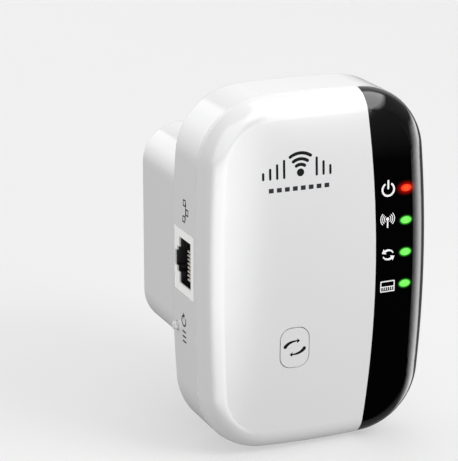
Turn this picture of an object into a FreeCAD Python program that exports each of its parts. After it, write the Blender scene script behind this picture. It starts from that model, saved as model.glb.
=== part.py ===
"""Plug-in wireless range extender, as an assembly of separate pieces, one STEP file for each.

Row frame, in millimetres: the origin is the centre of the plug block's wall face, on the line midway
between the two mains pins. +Y points into the wall along the pins, -Y faces the room, +Z is up.
"""

import FreeCAD
import Part
import math
import os

V = FreeCAD.Vector
OUT = "parts"

# ---- driving dimensions -------------------------------------------------------------------------
# main body: a rounded rectangle whose four sides bow outwards a little
BODY_W = 61.2
BODY_H = 90.0
BODY_Z = -3.0  # the body's centre sits this far from the plug's axis
CORNER_R = 17.0
SIDE_BOW_R = 410.0
END_BOW_R = 320.0
BACK_Y = -25.2  # back face of the body, where the plug block starts
SEAM_Y = -40.2  # parting plane of the rear shell and the front cover
FRONT_Y = -47.2  # crown of the domed front
DOME_R = 600.0
FRONT_EDGE_R = 5.6
BACK_EDGE_R = 1.0
WALL = 2.0
COVER_STEP = 0.08  # the cover is this much smaller than the rear shell all round
GAP = 0.1  # plain clearance between pieces that don't move
LABEL_W = 27.0
LABEL_H = 12.0
LABEL_Z = -36.6
LABEL_DEPTH = 0.25

# glossy indicator panel on the right of the front cover
PANEL_T = 1.0
PANEL_SINK = 0.06
PANEL_GAP = 0.08  # fine line between the cover and the panel
PANEL_EDGE_X = 14.95
PANEL_EDGE_R = 350.0
LED_X = 23.1
LED_PITCH = 8.17
LED_Z = 0.25  # height of the light in row 0
LED_ROWS = (("power", 2), ("wireless", 1), ("sync", 0), ("computer", -1))
WINDOW_W = 3.0
WINDOW_H = 1.75

# plug block
BLOCK_W = 57.4
BLOCK_H = 53.7
BLOCK_R = 10.0
BLOCK_WALL = 2.2
SPIGOT_R = 18.5  # round spigot that fills a recessed socket
SPIGOT_L = 17.0
EARTH_NOTCH_W = 6.4
EARTH_NOTCH_Z = 15.5
PIN_R = 2.4
PIN_L = 19.0
PIN_X = 9.5
PIN_TIP_R = 1.2
PIN_COLLAR_R = 2.9
PIN_FLANGE_R = 3.8
PIN_TAIL_Y = 7.0  # where the pin's solder tail ends, inside the spigot
SEAT_L = 1.0  # the spigot is let this far into the block's wall
NECK_R = 16.9  # neck of the plug insert, through the rest of the block's wall
NECK_WALL = 1.6
LIP_L = 1.1
LIP_OUT = 0.5

# circuit boards
BOARD_T = 1.6
MAIN_Y = -25.5  # wall side of the main board
MAIN_W = 52.2
MAIN_H = 48.6
POWER_Y = -4.0  # wall side of the power board
POWER_W = 51.0
POWER_H = 47.2
EARS = [(x, z) for x in (-15.5, 15.5) for z in (-21.4, 21.4)]
EAR_R = 3.8  # ear of the rear shell round a block screw
BLOCK_POST_R = 3.1
EAR_NOTCH_R = 4.3  # the boards stand clear of the ears by this
POST_NOTCH_R = 3.0
MAIN_POSTS = [(-23.2, 14.5), (23.2, -15.5)]
POWER_PEGS = [(-20.0, -8.0), (20.0, 8.0), (-20.0, 18.0), (21.5, -8.5)]

# network socket, opening towards -X
JACK_X = -30.4
JACK_W = 16.2
JACK_H = 12.7
JACK_L = 15.6
JACK_FRAME_T = 0.4
JACK_LIP = 2.0  # the frame's border on the room side of the opening
JACK_BORE_L = 13.0
JACK_BORE_W = 11.9
JACK_DEPTHS = (7.4, 8.9, 10.2)  # from the lip: the far side of the chamber, its shoulder and its latch slot
JACK_STEP_W = 6.6
JACK_LATCH_W = 4.1
CONTACTS = 8
CONTACT_PITCH = 1.02
CONTACT_T = 0.45
CONTACT_W = 0.4
CONTACT_NOSE = 2.3  # how far a contact's nose reaches across the mouth
CONTACT_SINK = 0.4  # how far a contact's run lies behind the lip

# push buttons
KEY_X = -6.7
KEY_Z = -20.7
KEY_W = 7.5
KEY_H = 10.2
KEY_R = 2.9
KEY_GAP = 0.2
PRESS_TRAVEL = 0.3  # both push buttons
RESET_Y = -28.4
RESET_Z = -17.65
RESET_R = 1.1
RESET_PROUD = 1.0
RESET_FLANGE_R = 2.0
RESET_FACE_X = -24.6  # face of the reset button's switch
SWITCH_W = 6.0
SWITCH_H = 3.5
PLUNGER_R = 1.75
RESET_PLUNGER_R = 0.9
PLUNGER_SINK = 0.5  # a plunger reaches this far into its switch

# light pipes
BRACKET_Y = -41.0  # wall side of the pipes' bracket
BRACKET_T = 1.6
BRACKET_X = LED_X - 0.4
BRACKET_PEGS = [(BRACKET_X, 20.6), (BRACKET_X, -12.3)]
PIPE_R = 1.0

# antennas
ANTENNA_Y = -33.0
ANTENNA_T = 0.8
ANTENNA_Z = {"upper": 33.6, "lower": -37.6}
ANTENNA_POST_X = 12.0
COAX_X = {"upper": 3.0, "lower": 8.0}
COAX_SIDE = {"upper": 1, "lower": -1}
COAX_R = 0.5

# parts on the boards
CAN_X = 9.6
CAN_Z = 5.0
CAN_W = 17.6
CAN_H = 19.0
CAN_T = 2.6
CORE_X = 2.5
CORE_Z = 5.6
CORE_LOW = 1.2  # the transformer's core stands from this height to the next above the power board
CORE_HIGH = 13.2
DC_X = (8.0, 11.0)
DC_Z = -16.0

# fasteners
SCREW_R = 1.1
CASE_SCREWS = [(-20.0, 33.0), (20.0, 33.0), (-19.5, -39.0), (19.5, -39.0)]
CASE_POST_R = 3.4
CASE_HEAD_BORE_R = 2.7
CASE_HEAD_R = 2.4
CASE_HEAD_Y = -30.0
CASE_JOIN_Y = -35.0

MAIN_TOP = MAIN_Y - BOARD_T  # room side of the main board
POWER_TOP = POWER_Y - BOARD_T
SWITCH_TOP = MAIN_TOP - SWITCH_H
KEY_GUIDE_Y = -41.4
KEY_STEM_Y = SWITCH_TOP - 1.0
KEY_FLANGE_Y = FRONT_Y + 3.9  # wall side of the setup button's cap
FAR = 80.0  # beyond every side of the object


# ---- helpers ------------------------------------------------------------------------------------
def box(x0, x1, y0, y1, z0, z1):
    """A block between two corners, given in any order."""
    lo = V(min(x0, x1), min(y0, y1), min(z0, z1))
    return Part.makeBox(abs(x1 - x0), abs(y1 - y0), abs(z1 - z0), lo)


def rod(x, z, r, y0, y1):
    """A cylinder along Y."""
    return Part.makeCylinder(r, abs(y1 - y0), V(x, min(y0, y1), z), V(0, 1, 0))


def rod_x(y, z, r, x0, x1):
    """A cylinder along X."""
    return Part.makeCylinder(r, abs(x1 - x0), V(min(x0, x1), y, z), V(1, 0, 0))


def slab(x, z, w, h, r, y0, y1):
    """A rounded rectangle, w by h with corners of radius r, extruded along Y."""
    body = box(x - w / 2, x + w / 2, y0, y1, z - h / 2, z + h / 2)
    upright = [e for e in body.Edges if abs(e.BoundBox.YLength) > 0.5 * abs(y1 - y0)]
    return body.makeFillet(r, upright)


def join(shapes):
    """One solid from several that overlap."""
    whole = shapes[0]
    for shape in shapes[1:]:
        whole = whole.fuse(shape)
    return whole.removeSplitter()


def cut(shape, tools):
    """The shape with every tool taken away."""
    for tool in tools:
        shape = shape.cut(tool)
    return shape


def save(name, shape):
    """Writes one node after checking that it is made of valid closed solids."""
    solids = shape.Solids
    for solid in solids:
        if not solid.isValid() or solid.Volume <= 0:
            raise ValueError(name + " has a bad solid")
    if not solids:
        raise ValueError(name + " has no solid")
    whole = solids[0] if len(solids) == 1 else Part.makeCompound(solids)
    whole.exportStep(os.path.join(OUT, name + ".step"))
    print(name, len(solids), "solid(s)", round(sum(s.Volume for s in solids), 2), "mm3")


def corner_centre():
    """Centre of the body's upper right corner arc, from the body's own centre."""
    side_x, end_z = BODY_W / 2 - SIDE_BOW_R, BODY_H / 2 - END_BOW_R
    side, end = SIDE_BOW_R - CORNER_R, END_BOW_R - CORNER_R
    span = math.hypot(side_x, end_z)
    along = (side * side - end * end + span * span) / (2 * span)
    off = math.sqrt(side * side - along * along)
    ux, uz = -side_x / span, end_z / span
    return side_x + along * ux - off * uz, along * uz + off * ux


def body_face(y, inset):
    """The body's outline at height y, moved inwards by inset: eight arcs that meet at a tangent."""
    cx, cz = corner_centre()
    side_x, end_z = BODY_W / 2 - SIDE_BOW_R, BODY_H / 2 - END_BOW_R
    low = math.atan2(cz, cx - side_x)
    high = math.atan2(cz - end_z, cx)
    arcs = []
    for sx, sz, flip in ((1, 1, False), (-1, 1, True), (-1, -1, False), (1, -1, True)):
        quarter = [
            (side_x, 0.0, SIDE_BOW_R - inset, 0.0, low),
            (cx, cz, CORNER_R - inset, low, high),
            (0.0, end_z, END_BOW_R - inset, high, math.pi / 2),
        ]
        for ox, oz, r, a, b in quarter[::-1] if flip else quarter:
            ends = (b, (a + b) / 2, a) if flip else (a, (a + b) / 2, b)
            p = [V(sx * (ox + r * math.cos(t)), y, BODY_Z + sz * (oz + r * math.sin(t))) for t in ends]
            arcs.append(Part.Arc(*p).toShape())
    return Part.Face(Part.Wire(arcs))


def body_prism(inset, y0, y1):
    """The body's outline extruded from y0 to y1."""
    return body_face(y0, inset).extrude(V(0, y1 - y0, 0))


def front_form(inset, back=SEAM_Y):
    """The domed front of the body with its rounded edge, all moved inwards by inset, from back forwards."""
    dome = Part.makeSphere(DOME_R - inset, V(0, FRONT_Y + DOME_R, BODY_Z))
    form = body_prism(inset, BACK_Y, FRONT_Y - 2.0).common(dome)
    rim = [e for e in form.Edges if e.BoundBox.YMax < SEAM_Y - 1.0]
    return form.makeFillet(FRONT_EDGE_R - inset, rim).cut(box(-FAR, FAR, back, BACK_Y + 1, -FAR, FAR))


def panel_zone(gap):
    """Everything to the right of the curved edge between the white cover and the dark panel."""
    disc = rod(PANEL_EDGE_X - PANEL_EDGE_R, BODY_Z, PANEL_EDGE_R + gap, -FAR, FAR)
    return box(0, FAR, -FAR, FAR, -FAR, FAR).cut(disc)


def window(z, grow, y0, y1):
    """The oval of one indicator window, through the front."""
    across, up = V(WINDOW_W / 2 + grow, 0, 0), V(0, 0, WINDOW_H / 2 + grow)
    middle = V(LED_X, y0, z)
    oval = Part.Ellipse(middle + across, middle + up, middle).toShape()
    return Part.Face(Part.Wire(oval)).extrude(V(0, y1 - y0, 0))


def led_z(row):
    return LED_Z + row * LED_PITCH


def tube(points, r):
    """A wire of radius r along straight runs joined by tangent arcs; prints its bend radii."""
    pts = [V(*p) for p in points]
    edges, start, radii = [], pts[0], []
    for a, b, c in zip(pts, pts[1:], pts[2:]):
        u, w = (a - b).normalize(), (c - b).normalize()
        reach = 0.45 * min((a - b).Length, (c - b).Length)
        half = u.getAngle(w) / 2
        radii.append(round(reach * math.tan(half), 2))
        p, q = b + u * reach, b + w * reach
        middle = b + (u + w).normalize() * (reach / math.cos(half) - reach * math.tan(half))
        edges.append(Part.LineSegment(start, p).toShape())
        edges.append(Part.Arc(p, middle, q).toShape())
        start = q
    edges.append(Part.LineSegment(start, pts[-1]).toShape())
    path = Part.Wire(edges)
    ring = Part.Wire(Part.makeCircle(r, pts[0], pts[1] - pts[0]))
    solid = path.makePipeShell([ring], True, True)
    share = solid.Volume / (math.pi * r * r * path.Length)
    print("  wire of", round(path.Length, 1), "mm, bends", radii, "volume share", round(share, 4))
    return solid


def screw(x, z, y_head, y_tip, head_r, head_t):
    """A pan-head screw along Y. Its head reaches past y_head, away from the tip, and has a cross slot."""
    out = 1 if y_head > y_tip else -1
    top = y_head + out * head_t
    head = rod(x, z, head_r, y_head, top)
    rim = [e for e in head.Edges if abs(e.BoundBox.YMax - top) < 0.01 and e.BoundBox.YLength < 0.01]
    head = head.makeFillet(0.35, rim)
    reach, thin, floor = head_r * 0.62, 0.3, top - out * 0.7 * head_t
    slots = [
        box(x - reach, x + reach, top, floor, z - thin, z + thin),
        box(x - thin, x + thin, top, floor, z - reach, z + reach),
    ]
    return cut(join([head, rod(x, z, SCREW_R, y_head, y_tip)]), slots)


def key_shape(grow, y0, y1):
    """The setup button's outline, larger by grow all round."""
    return slab(KEY_X, KEY_Z, KEY_W + 2 * grow, KEY_H + 2 * grow, KEY_R + grow, y0, y1)


# ---- casing -------------------------------------------------------------------------------------
def jack_y():
    """The network socket's room side and wall side."""
    return MAIN_TOP - JACK_H, MAIN_TOP


def vent_slot(centre, along, r=0.7, half=4.2):
    """One ventilation slot: a stadium along Y, drilled along Z or X."""
    x, y, z = centre
    if along == "x":
        ends = [rod_x(y + s * half, z, r, x - 3, x + 3) for s in (-1, 1)]
        return join([box(x - 3, x + 3, y - half, y + half, z - r, z + r)] + ends)
    ends = [Part.makeCylinder(r, 6, V(x, y + s * half, z - 3)) for s in (-1, 1)]
    return join([box(x - r, x + r, y - half, y + half, z - 3, z + 3)] + ends)


def vents():
    """A row of slots in the right side wall and another in the underside."""
    mid_y = (BACK_Y + SEAM_Y) / 2 - 0.6
    side = [vent_slot((BODY_W / 2 - 1, mid_y, -21.0 + 3.6 * k), "x") for k in range(11)]
    under = [vent_slot((-14.4 + 3.6 * k, mid_y, BODY_Z - BODY_H / 2 + 1), "z") for k in range(9)]
    return side + under


def rear_window():
    """The opening in the body's back wall, with an ear left standing round each block screw."""
    w, h = BLOCK_W - 2 * BLOCK_WALL, BLOCK_H - 2 * BLOCK_WALL
    hole = slab(0, 0, w, h, BLOCK_R - BLOCK_WALL, BACK_Y + 1, BACK_Y - WALL - 1)
    ears = []
    for x, z in EARS:
        edge = math.copysign(h / 2 + 1, z)
        ears.append(rod(x, z, EAR_R, BACK_Y + 2, BACK_Y - WALL - 2))
        ears.append(box(x - EAR_R, x + EAR_R, BACK_Y + 2, BACK_Y - WALL - 2, z, edge))
    return cut(hole, ears)


def rear_shell():
    outer = body_prism(0, BACK_Y, SEAM_Y)
    rim = [e for e in outer.Edges if e.BoundBox.YMin > BACK_Y - 0.01]
    shell = outer.makeFillet(BACK_EDGE_R, rim).cut(body_prism(WALL, BACK_Y - WALL, SEAM_Y - 1))
    adds = [rod(x, z, CASE_POST_R, BACK_Y - 1.0, CASE_JOIN_Y) for x, z in CASE_SCREWS]
    for x, z in antenna_posts("upper") + antenna_posts("lower"):
        adds.append(rod(x, z, 1.6, BACK_Y - 1.0, ANTENNA_Y))
        adds.append(rod(x, z, 0.8, ANTENNA_Y + 0.5, ANTENNA_Y - 2 * ANTENNA_T))
    _, back = jack_y()
    cuts = [rear_window()]
    for x, z in CASE_SCREWS:
        cuts.append(rod(x, z, CASE_HEAD_BORE_R, BACK_Y + 1, CASE_HEAD_Y))
        cuts.append(rod(x, z, SCREW_R + 0.2, BACK_Y + 1, CASE_JOIN_Y - 1))
    for x, z in EARS:
        cuts.append(rod(x, z, SCREW_R + 0.1, BACK_Y + 1, BACK_Y - WALL - 1))
    half = JACK_W / 2 + GAP
    cuts.append(box(-BODY_W, JACK_X + 6, SEAM_Y - 1, back + 0.05, -half, half))
    cuts.append(rod_x(RESET_Y, RESET_Z, RESET_R + 0.15, -BODY_W / 2 - 1, -BODY_W / 2 + 4))
    cuts.append(label_form(2 * GAP, BACK_Y + 1))
    return cut(cut(join([shell] + adds), cuts), vents())


def label_form(grow, back):
    """A rounded sheet let into the back face, under the plug block, from its recess's floor out to back."""
    return slab(0, LABEL_Z, LABEL_W + 2 * grow, LABEL_H + 2 * grow, 1.5, back, BACK_Y - LABEL_DEPTH)


def front_cover():
    shell = front_form(COVER_STEP).cut(front_form(COVER_STEP + WALL, SEAM_Y + 1))
    under_panel = COVER_STEP + PANEL_SINK + PANEL_T + 0.05
    skin = front_form(0, SEAM_Y + 1).cut(front_form(under_panel, SEAM_Y + 2))
    shell = shell.cut(skin.common(panel_zone(-PANEL_GAP)))
    solid_front = front_form(COVER_STEP + WALL - 0.4, SEAM_Y + 8)
    inside = body_prism(WALL + 1.0, SEAM_Y - 3, SEAM_Y + 2)
    tongue = body_prism(WALL + 0.15, SEAM_Y, SEAM_Y + 1.1).cut(inside)
    root = body_prism(WALL - 0.5, SEAM_Y, SEAM_Y - 2.0).cut(inside)
    root = root.common(solid_front)
    posts = [rod(x, z, CASE_POST_R - 0.2, CASE_JOIN_Y - GAP, FRONT_Y) for x, z in CASE_SCREWS]
    posts = [post.common(solid_front) for post in posts]
    pegs = []
    for x, z in BRACKET_PEGS:
        shoulder = rod(x, z, 2.0, BRACKET_Y - BRACKET_T, FRONT_Y)
        pegs.append(join([shoulder, rod(x, z, 1.2, BRACKET_Y + 0.5, FRONT_Y)]).common(solid_front))
    guide = key_shape(2.6, KEY_GUIDE_Y, FRONT_Y).cut(key_shape(1.4, KEY_GUIDE_Y + 1, FRONT_Y - 1))
    jack_front, _ = jack_y()
    half = JACK_W / 2
    side_wall = body_prism(COVER_STEP, SEAM_Y - 1.5, jack_front - GAP)
    tab = box(-BODY_W, JACK_X + WALL, SEAM_Y - 1.5, jack_front - GAP, -half, half).common(side_wall)
    tongue = tongue.cut(box(-BODY_W, 0, SEAM_Y + 3, SEAM_Y, -half - 2 * GAP, half + 2 * GAP))
    cuts = [key_shape(KEY_GAP, SEAM_Y + 8, FRONT_Y - 1)]
    cuts += [window(led_z(row), 0.05, SEAM_Y, FRONT_Y - 1) for _, row in LED_ROWS]
    cuts += [rod(x, z, SCREW_R + 0.05, CASE_JOIN_Y + 1, CASE_JOIN_Y - 7) for x, z in CASE_SCREWS]
    return cut(join([shell, root, tongue, tab, guide.common(solid_front)] + posts + pegs), cuts)


def led_panel():
    sink = COVER_STEP + PANEL_SINK
    skin = front_form(sink).cut(front_form(sink + PANEL_T, SEAM_Y + 1)).common(panel_zone(0.0))
    return cut(skin, [window(led_z(row), 0.05, SEAM_Y, FRONT_Y - 1) for _, row in LED_ROWS])


# ---- plug block ---------------------------------------------------------------------------------
def plug_housing():
    floor = -BLOCK_WALL
    block = slab(0, 0, BLOCK_W, BLOCK_H, BLOCK_R, BACK_Y, 0)
    rim = [e for e in block.Edges if e.BoundBox.YMin > -0.01]
    block = block.makeFillet(0.8, rim)
    inner_w, inner_h = BLOCK_W - 2 * BLOCK_WALL, BLOCK_H - 2 * BLOCK_WALL
    hollow = slab(0, 0, inner_w, inner_h, BLOCK_R - BLOCK_WALL, BACK_Y - 1, floor)
    adds = []
    for x, z in EARS:
        adds.append(rod(x, z, BLOCK_POST_R, floor + 0.5, BACK_Y))
        adds.append(box(x - 1, x + 1, floor + 0.5, BACK_Y, z, math.copysign(inner_h / 2 + 0.5, z)))
    for x, z in MAIN_POSTS:
        adds.append(rod(x, z, 2.5, floor + 0.5, MAIN_Y))
        adds.append(box(x, math.copysign(inner_w / 2 + 0.5, x), floor + 0.5, BACK_Y, z - 1, z + 1))
    adds += [rod(x, z, 2.2, floor + 0.5, POWER_Y) for x, z in POWER_PEGS]
    cuts = [rod(x, z, SCREW_R + 0.05, BACK_Y - 1, BACK_Y + 12) for x, z in EARS]
    cuts += [rod(x, z, SCREW_R + 0.05, MAIN_Y - 1, MAIN_Y + 9) for x, z in MAIN_POSTS]
    cuts += [rod(x, z, SCREW_R + 0.05, POWER_Y - 1, POWER_Y + 3.2) for x, z in POWER_PEGS[:2]]
    cuts.append(rod(0, 0, NECK_R + GAP, floor - 1, 1))
    cuts.append(rod(0, 0, SPIGOT_R + GAP, -SEAT_L, 1))
    return cut(join([block.cut(hollow)] + adds), cuts)


def plug_insert():
    """Round spigot seated in the block's wall: a neck through the hole and a slotted lip behind it."""
    spigot = rod(0, 0, SPIGOT_R, -SEAT_L, SPIGOT_L)
    tip = [e for e in spigot.Edges if e.BoundBox.YMin > SPIGOT_L - 0.01]
    spigot = spigot.makeChamfer(1.0, tip)
    lip_end = -BLOCK_WALL - LIP_L
    neck = rod(0, 0, NECK_R, lip_end, 1)
    lip = Part.makeCone(NECK_R, NECK_R + LIP_OUT, LIP_L, V(0, lip_end, 0), V(0, 1, 0))
    drum_bore = rod(0, 0, SPIGOT_R - BLOCK_WALL, 1.5, SPIGOT_L - BLOCK_WALL)
    neck_bore = rod(0, 0, NECK_R - NECK_WALL, lip_end - 1, 2)
    bore_z = EARTH_NOTCH_Z - BLOCK_WALL
    bore = drum_bore.fuse(neck_bore).common(box(-FAR, FAR, -FAR, FAR, -bore_z, bore_z))
    notch = EARTH_NOTCH_W / 2
    cuts = [box(-notch, notch, 0, SPIGOT_L + 1, s * EARTH_NOTCH_Z, s * FAR) for s in (-1, 1)]
    for turn in range(4):
        slot = box(-0.5, 0.5, lip_end - 1, -BLOCK_WALL + 0.6, NECK_R - 2 * NECK_WALL, FAR)
        slot.rotate(V(0, 0, 0), V(0, 1, 0), 45 + 90 * turn)
        cuts.append(slot)
    cuts += [rod(s * PIN_X, 0, PIN_COLLAR_R + 0.03, 5, SPIGOT_L + 1) for s in (-1, 1)]
    return cut(join([spigot, neck, lip]), [bore] + cuts)


def plug_pin(side):
    """One round mains pin: rounded tip, collar moulded into the spigot's end, flange and solder tail."""
    x, root = side * PIN_X, SPIGOT_L
    shank = rod(x, 0, PIN_R, root - 0.5, root + PIN_L)
    tip = [e for e in shank.Edges if e.BoundBox.YMin > root + PIN_L - 0.01]
    collar = rod(x, 0, PIN_COLLAR_R, root - BLOCK_WALL - 0.5, root)
    flange = rod(x, 0, PIN_FLANGE_R, root - BLOCK_WALL - 1.9, root - BLOCK_WALL)
    tail = rod(x, 0, 1.5, PIN_TAIL_Y, root - BLOCK_WALL)
    return join([shank.makeFillet(PIN_TIP_R, tip), collar, flange, tail])


# ---- boards and what is on them -----------------------------------------------------------------
def notch_to_edge(x, z, r, y0, y1, along):
    """A round notch that runs out to a board's edge, along x or z."""
    far_x, far_z = math.copysign(FAR, x), math.copysign(FAR, z)
    if along == "z":
        return join([rod(x, z, r, y0, y1), box(x - r, x + r, y0, y1, z, far_z)])
    return join([rod(x, z, r, y0, y1), box(x, far_x, y0, y1, z - r, z + r)])


def main_board():
    plate = slab(0, 0, MAIN_W, MAIN_H, 7.6, MAIN_Y, MAIN_TOP)
    cuts = [notch_to_edge(x, z, EAR_NOTCH_R, MAIN_Y + 1, MAIN_TOP - 1, "z") for x, z in EARS]
    cuts += [rod(x, z, SCREW_R + 0.15, MAIN_Y + 1, MAIN_TOP - 1) for x, z in MAIN_POSTS]
    return cut(plate, cuts)


def power_board():
    plate = slab(0, 0, POWER_W, POWER_H, 6.0, POWER_Y, POWER_TOP)
    cuts = [notch_to_edge(x, z, BLOCK_POST_R + 0.5, POWER_Y + 1, POWER_TOP - 1, "z") for x, z in EARS]
    cuts += [notch_to_edge(x, z, POST_NOTCH_R, POWER_Y + 1, POWER_TOP - 1, "x") for x, z in MAIN_POSTS]
    cuts += [rod(x, z, SCREW_R + 0.15, POWER_Y + 1, POWER_TOP - 1) for x, z in POWER_PEGS[:2]]
    return cut(plate, cuts)


def insulating_sheet():
    """Thin sheet on the back of the main board that keeps the mains parts away from it."""
    y0, y1 = MAIN_Y - 1, MAIN_Y + 1
    sheet = slab(0, 0, POWER_W, POWER_H, 6.0, MAIN_Y, MAIN_Y + 0.2)
    cuts = [notch_to_edge(x, z, EAR_NOTCH_R, y0, y1, "z") for x, z in EARS]
    cuts += [notch_to_edge(x, z, POST_NOTCH_R, y0, y1, "x") for x, z in MAIN_POSTS]
    cuts.append(slab(sum(DC_X) / 2, DC_Z + 2.0, 7.0, 4.0, 1.9, y0, y1))
    return cut(sheet, cuts)


def socket_bore(x0, x1):
    """The stepped opening of the network socket: main chamber, shoulder and latch slot."""
    front, _ = jack_y()
    lip = front + JACK_LIP
    floor, step, latch = (lip + depth for depth in JACK_DEPTHS)
    levels = ((lip, floor, JACK_BORE_W), (floor - 0.1, step, JACK_STEP_W), (step - 0.1, latch, JACK_LATCH_W))
    return join([box(x0, x1, y0, y1, -w / 2, w / 2) for y0, y1, w in levels])


def jack_frame():
    """The pale face of the network socket."""
    front, back = jack_y()
    plate = box(JACK_X, JACK_X + JACK_FRAME_T, front, back, -JACK_W / 2, JACK_W / 2)
    return plate.cut(socket_bore(JACK_X - 1, JACK_X + JACK_FRAME_T + 1))


def contact_z(k):
    return (k - (CONTACTS - 1) / 2) * CONTACT_PITCH


def jack_body():
    front, back = jack_y()
    x0, x1 = JACK_X + JACK_FRAME_T, JACK_X + JACK_L
    body = box(x0, x1, front, back, -JACK_W / 2, JACK_W / 2)
    half = contact_z(CONTACTS - 1) + 0.5
    lip = front + JACK_LIP
    pockets = [
        box(x0 - 1, x1 - 1.2, lip - CONTACT_SINK - 0.15, lip + 0.5, -half, half),
        box(x1 - 3.0, x1 - 1.2, lip - CONTACT_SINK - 0.15, back + 1, -half, half),
    ]
    return cut(body, [socket_bore(x0 - 1, JACK_X + JACK_BORE_L)] + pockets)


def jack_contacts():
    """Eight bent spring wires: a nose in the mouth, a run with a slanted spring, and a tail to the board."""
    front, back = jack_y()
    lip = front + JACK_LIP
    top = lip - CONTACT_SINK
    x0, x1 = JACK_X + JACK_FRAME_T + GAP, JACK_X + JACK_L - 2.1
    wires = []
    for k in range(CONTACTS):
        low, high = contact_z(k) - CONTACT_W / 2, contact_z(k) + CONTACT_W / 2
        tail = box(x1 - CONTACT_T, x1, top, back, low, high)
        run = box(x0, x1, top, top + CONTACT_T, low, high)
        neck = box(x0, x0 + CONTACT_T, top, lip + CONTACT_T, low, high)
        nose = box(JACK_X + 0.15, x0 + CONTACT_T, lip + 0.05, lip + CONTACT_NOSE, low, high)
        slant = Part.Face(
            Part.makePolygon(
                [
                    V(x0 + 1.1, top, low),
                    V(x0 + 1.7, top, low),
                    V(x0 + 7.9, top + 2.4, low),
                    V(x0 + 7.5, top + 2.8, low),
                    V(x0 + 1.1, top + CONTACT_T, low),
                ],
                True,
            )
        ).extrude(V(0, 0, CONTACT_W))
        wires.append(join([run, neck, nose, tail, slant]))
    return Part.makeCompound(wires)


def light_pipe(row):
    """A clear rod from just over its LED to a flush window in the panel."""
    z = led_z(row)
    head_y = BRACKET_Y - BRACKET_T
    head = window(z, 0.0, head_y, FRONT_Y - 1).common(front_form(COVER_STEP + PANEL_SINK - 0.04))
    return join([rod(LED_X, z, PIPE_R, MAIN_TOP - 1.1, head_y - 0.5), head])


def pipe_bracket():
    """Dark bracket that holds the four light pipes in line and stops light passing between them."""
    middle = (BRACKET_PEGS[0][1] + BRACKET_PEGS[1][1]) / 2
    plate = slab(BRACKET_X, middle, 6.2, 38.0, 1.5, BRACKET_Y, BRACKET_Y - BRACKET_T)
    sleeves = [rod(LED_X, led_z(row), 1.7, BRACKET_Y - 0.8, BRACKET_Y + 6.0) for _, row in LED_ROWS]
    cuts = [rod(LED_X, led_z(row), PIPE_R + 0.06, -FAR, 0) for _, row in LED_ROWS]
    cuts += [rod(x, z, 1.26, BRACKET_Y + 1, BRACKET_Y - 3) for x, z in BRACKET_PEGS]
    return cut(join([plate] + sleeves), cuts)


def indicator_leds():
    chips = []
    for _, row in LED_ROWS:
        z = led_z(row)
        chips.append(box(LED_X - 0.8, LED_X + 0.8, MAIN_TOP, MAIN_TOP - 0.8, z - 0.4, z + 0.4))
    return Part.makeCompound(chips)


def setup_button():
    """Front push button: a cap flush with the dome, a flange that keeps it in, and a cross stem."""
    crown = front_form(COVER_STEP - 0.05, SEAM_Y + 8)
    cap = key_shape(0, KEY_FLANGE_Y, FRONT_Y - 1).common(crown)
    flange = key_shape(1.1, KEY_FLANGE_Y, FRONT_Y + WALL + 1.0)
    skirt = key_shape(1.1, FRONT_Y + 5.4, FRONT_Y + 3.7).cut(key_shape(0.1, FRONT_Y + 6, FRONT_Y + 3.8))
    stem = [
        box(KEY_X - 1.8, KEY_X + 1.8, FRONT_Y + 3, KEY_STEM_Y, KEY_Z - 0.6, KEY_Z + 0.6),
        box(KEY_X - 0.6, KEY_X + 0.6, FRONT_Y + 3, KEY_STEM_Y, KEY_Z - 1.8, KEY_Z + 1.8),
    ]
    return join([cap, flange, skirt] + stem)


def setup_switch():
    body = slab(KEY_X, KEY_Z, SWITCH_W, SWITCH_W, 0.4, MAIN_TOP, SWITCH_TOP)
    floor = SWITCH_TOP + PLUNGER_SINK + PRESS_TRAVEL + GAP
    return body.cut(rod(KEY_X, KEY_Z, PLUNGER_R + 0.07, floor, SWITCH_TOP - 1))


def setup_plunger():
    return rod(KEY_X, KEY_Z, PLUNGER_R, SWITCH_TOP + PLUNGER_SINK, KEY_STEM_Y)


def reset_button():
    """Side push button: a small round cap that stands proud of the wall, with a flange behind it."""
    out = -BODY_W / 2 - RESET_PROUD
    cap = rod_x(RESET_Y, RESET_Z, RESET_R, out, -28.0)
    rim = [e for e in cap.Edges if e.BoundBox.XMax < out + 0.01]
    flange = rod_x(RESET_Y, RESET_Z, RESET_FLANGE_R, -28.1, -27.2)
    flange = flange.cut(box(-FAR, 0, BACK_Y - WALL - GAP, 0, -FAR, FAR))
    stem = rod_x(RESET_Y, RESET_Z, RESET_PLUNGER_R, -27.5, RESET_FACE_X - 1.0)
    return join([cap.makeFillet(0.7, rim), flange, stem])


def reset_switch():
    half = SWITCH_W / 2
    body = box(RESET_FACE_X, RESET_FACE_X + 3.4, MAIN_TOP, MAIN_TOP - 4.6, RESET_Z - half, RESET_Z + half)
    floor = RESET_FACE_X + PLUNGER_SINK + PRESS_TRAVEL + GAP
    return body.cut(rod_x(RESET_Y, RESET_Z, RESET_PLUNGER_R + 0.06, RESET_FACE_X - 1, floor))


def reset_plunger():
    return rod_x(RESET_Y, RESET_Z, RESET_PLUNGER_R, RESET_FACE_X - 1.0, RESET_FACE_X + PLUNGER_SINK)


def antenna_posts(name):
    """The two heat-staked posts that hold one antenna board."""
    return [(side * ANTENNA_POST_X, ANTENNA_Z[name]) for side in (-1, 1)]


def antenna(name):
    """A printed antenna's thin board."""
    board = slab(0, ANTENNA_Z[name], 30.0, 7.0, 0.8, ANTENNA_Y, ANTENNA_Y - ANTENNA_T)
    return cut(board, [rod(x, z, 0.86, ANTENNA_Y + 1, ANTENNA_Y - 2) for x, z in antenna_posts(name)])


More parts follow.
